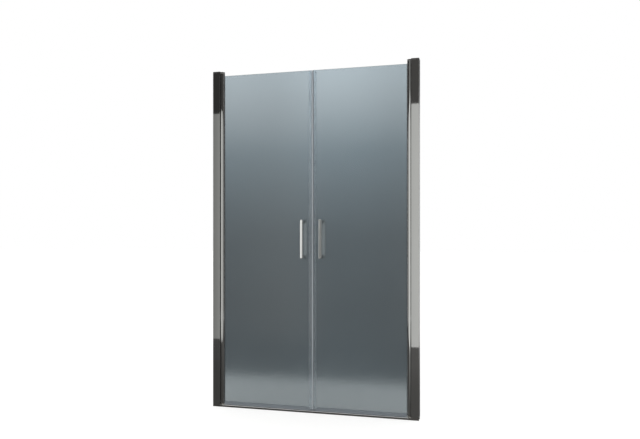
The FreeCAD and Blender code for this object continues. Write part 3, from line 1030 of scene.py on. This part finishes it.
        # Places of the cards, which are the same before and behind the door but turned half round
        across = (-3.2, 3.2)
        softbox_height = (0.15, 2.0)
        upper_height = (2.0, 3.6)
        full_height = (0, 3.6)
        near_strip = (-0.575, -0.75)
        near_strip_height = (0.02, 2.3)
        far_strip = (0.74, 1.5)
        far_strip_height = (0.31, 1.8)
        strip_depth = 0.3
        backdrop_depth = 0.84
        softbox_depth = 1.5
        end_flag_start = 0.2
        floor_flag_end = 2.6
        for name, side, softbox in (("front", -1, front_softbox), ("rear", 1, rear_softbox)):
            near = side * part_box("threshold")[1].y
            near_x = [side * x for x in near_strip]
            far_x = [side * x for x in far_strip]
            cards = (
                ("softbox", rectangle(across, softbox_height), softbox_depth, softbox),
                ("near_strip", rectangle(near_x, near_strip_height), strip_depth, strip),
                ("far_strip", rectangle(far_x, far_strip_height), strip_depth, strip),
                ("upper_flag", rectangle(across, upper_height), softbox_depth, flag),
                ("backdrop", rectangle(across, full_height), backdrop_depth, backdrop),
            )
            for card, outline, depth, material in cards:
                corners = [(u, side * depth, v) for u, v in outline]
                self.add_card(name + "_" + card, corners, material, card == "backdrop")
            corners = [(u, v, 0) for u, v in rectangle(across, (near, side * floor_flag_end))]
            self.add_card(name + "_floor_flag", corners, flag)
            for end, x in zip(SIDES, across):
                outline = rectangle((side * end_flag_start, side * softbox_depth), full_height)
                self.add_card(name + "_" + end + "_flag", [(x, u, v) for u, v in outline], flag)

    def add_handle_card(self):
        """Small card behind the glass, between the posts, that lights the fronts of the inner handles."""
        posts_low, posts_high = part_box("right_inner_handle_posts")
        bar_low, bar_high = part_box("right_inner_handle_bar")
        post = posts_high.x - posts_low.x
        reach = 2 * bar_high.x
        depth = bar_low.y / 2
        material = start_material(
            "reflector_card", linear_rgb("000000"), Roughness=1.0, Emission_Color=WHITE, Emission_Strength=0.9
        )[0]
        outline = rectangle((-reach, reach), (posts_low.z + post, posts_high.z - post))
        self.add_card("inner_handle_card", [(u, depth, v) for u, v in outline], material)

    def add_card(self, name, corners, material, through_glass=False):
        """Card that only rays through glass show, or else only reflections."""
        card = self.add_plane(name, corners, material)
        card.visible_camera = False
        card.visible_diffuse = False
        card.visible_shadow = False
        card.visible_transmission = through_glass
        card.visible_glossy = not through_glass

    def add_lamps(self):
        """Soft area lamps: name, place, aim, width, height and watts."""
        lamps = (
            ("key_lamp", (-1.8, -2.8, 3.0), (0, 0, 1.0), 1.8, 1.8, 14.0),
            ("fill_lamp", (2.6, -2.4, 1.8), (0, 0, 1.0), 1.8, 1.8, 6.0),
        )
        for name, place, aim, width, height, watts in lamps:
            data = bpy.data.lights.new(name, "AREA")
            data.shape = "RECTANGLE"
            data.size = width
            data.size_y = height
            data.energy = watts
            lamp = bpy.data.objects.new(name, data)
            lamp.location = place
            lamp.rotation_euler = (Vector(aim) - Vector(place)).to_track_quat("-Z", "Y").to_euler()
            lamp.visible_camera = False
            lamp.visible_glossy = False
            bpy.context.scene.collection.objects.link(lamp)

    def add_camera(self, scene, studio):
        data = bpy.data.cameras.new("camera")
        data.sensor_width = SENSOR_WIDTH_MM
        data.lens = studio.lens
        data.shift_y = studio.shift_up
        camera = bpy.data.objects.new("camera", data)
        camera.location = studio.camera_place
        level = math.radians(90)
        camera.rotation_euler = (level, 0, studio.camera_turn)
        scene.collection.objects.link(camera)
        scene.camera = camera


OPERATORS = (
    DOOR_OT_jambs,
    DOOR_OT_castings,
    DOOR_OT_threshold,
    DOOR_OT_stiles,
    DOOR_OT_panes,
    DOOR_OT_seals,
    DOOR_OT_handles,
    DOOR_OT_fixings,
    DOOR_OT_stage,
)


class DOOR_PT_pieces(bpy.types.Panel):
    """Lists the pieces of the shower door"""

    bl_idname = "DOOR_PT_pieces"
    bl_label = "Shower door"
    bl_space_type = "VIEW_3D"
    bl_region_type = "UI"
    bl_category = "Shower door"

    def draw(self, context):
        for operator in OPERATORS:
            self.layout.operator(operator.bl_idname)


CLASSES = (DoorSizes, DoorColours, StudioSettings) + OPERATORS + (DOOR_PT_pieces,)


def register():
    for item in CLASSES:
        bpy.utils.register_class(item)
    bpy.types.Scene.door_sizes = PointerProperty(type=DoorSizes)
    bpy.types.Scene.door_colours = PointerProperty(type=DoorColours)
    bpy.types.Scene.door_studio = PointerProperty(type=StudioSettings)


def unregister():
    del bpy.types.Scene.door_studio
    del bpy.types.Scene.door_colours
    del bpy.types.Scene.door_sizes
    for item in reversed(CLASSES):
        bpy.utils.unregister_class(item)


def main():
    register()
    bpy.ops.door.jambs()
    bpy.ops.door.castings()
    bpy.ops.door.threshold()
    bpy.ops.door.stiles()
    bpy.ops.door.panes()
    bpy.ops.door.seals()
    bpy.ops.door.handles()
    bpy.ops.door.fixings()
    bpy.ops.door.stage()


if __name__ == "__main__":
    main()
